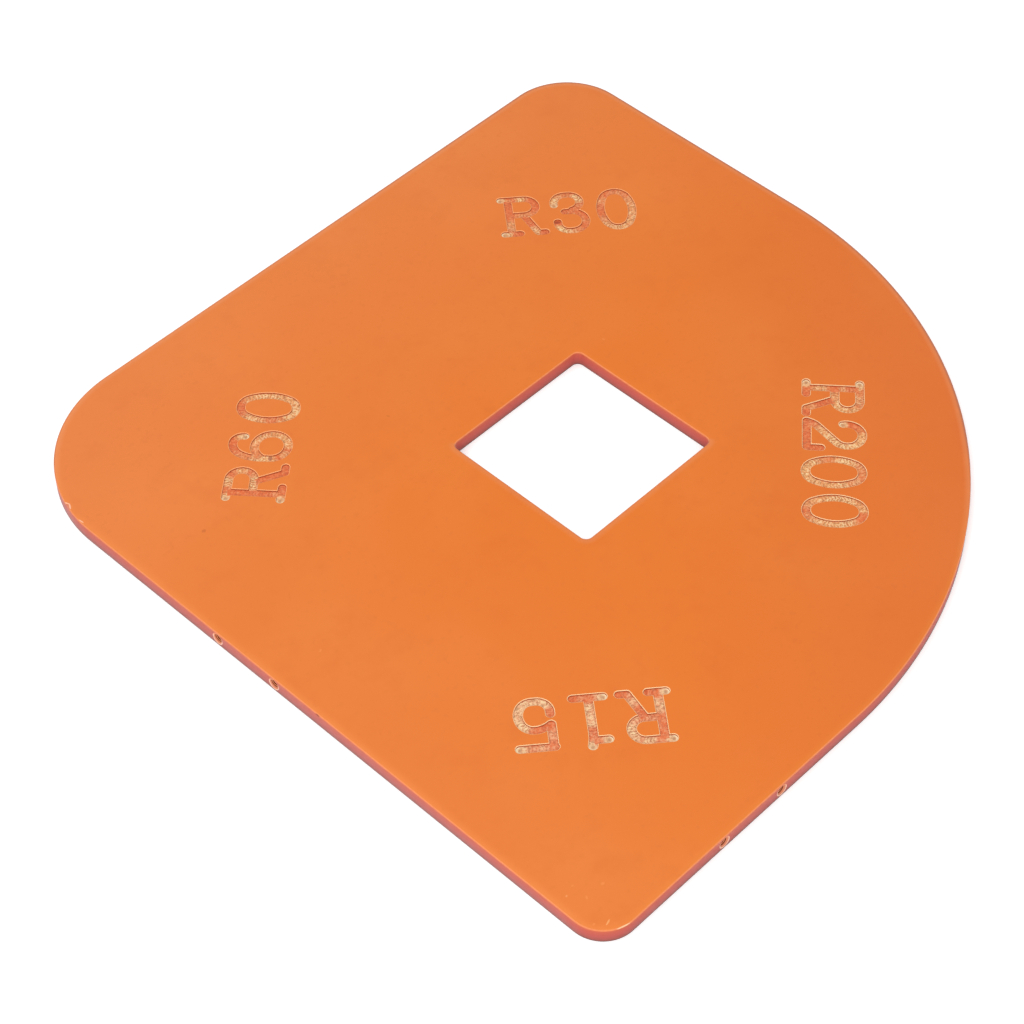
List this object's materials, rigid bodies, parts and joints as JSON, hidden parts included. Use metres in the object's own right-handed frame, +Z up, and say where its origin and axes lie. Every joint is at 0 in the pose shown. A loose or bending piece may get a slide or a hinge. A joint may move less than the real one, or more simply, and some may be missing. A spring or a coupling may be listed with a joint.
{
  "type": "corner radius template",
  "caption": "Flat square router template with a different radius at each corner, a square window in the middle and tapped holes in its edges for side stops.",
  "frame": {"origin": "middle of the plate's underside", "axes": "+Z up through the plate's thickness; the 15 mm corner is at -X -Y, the 200 mm corner at +X -Y, the 30 mm corner at +X +Y and the 60 mm corner at -X +Y"},
  "size_m": [0.34, 0.34, 0.007],
  "materials": {
    "orange_phenolic": "satin orange face with pale machined marks"
  },
  "bodies": {
    "root": {"template_plate": "orange_phenolic"}
  },
  "joints": []
}
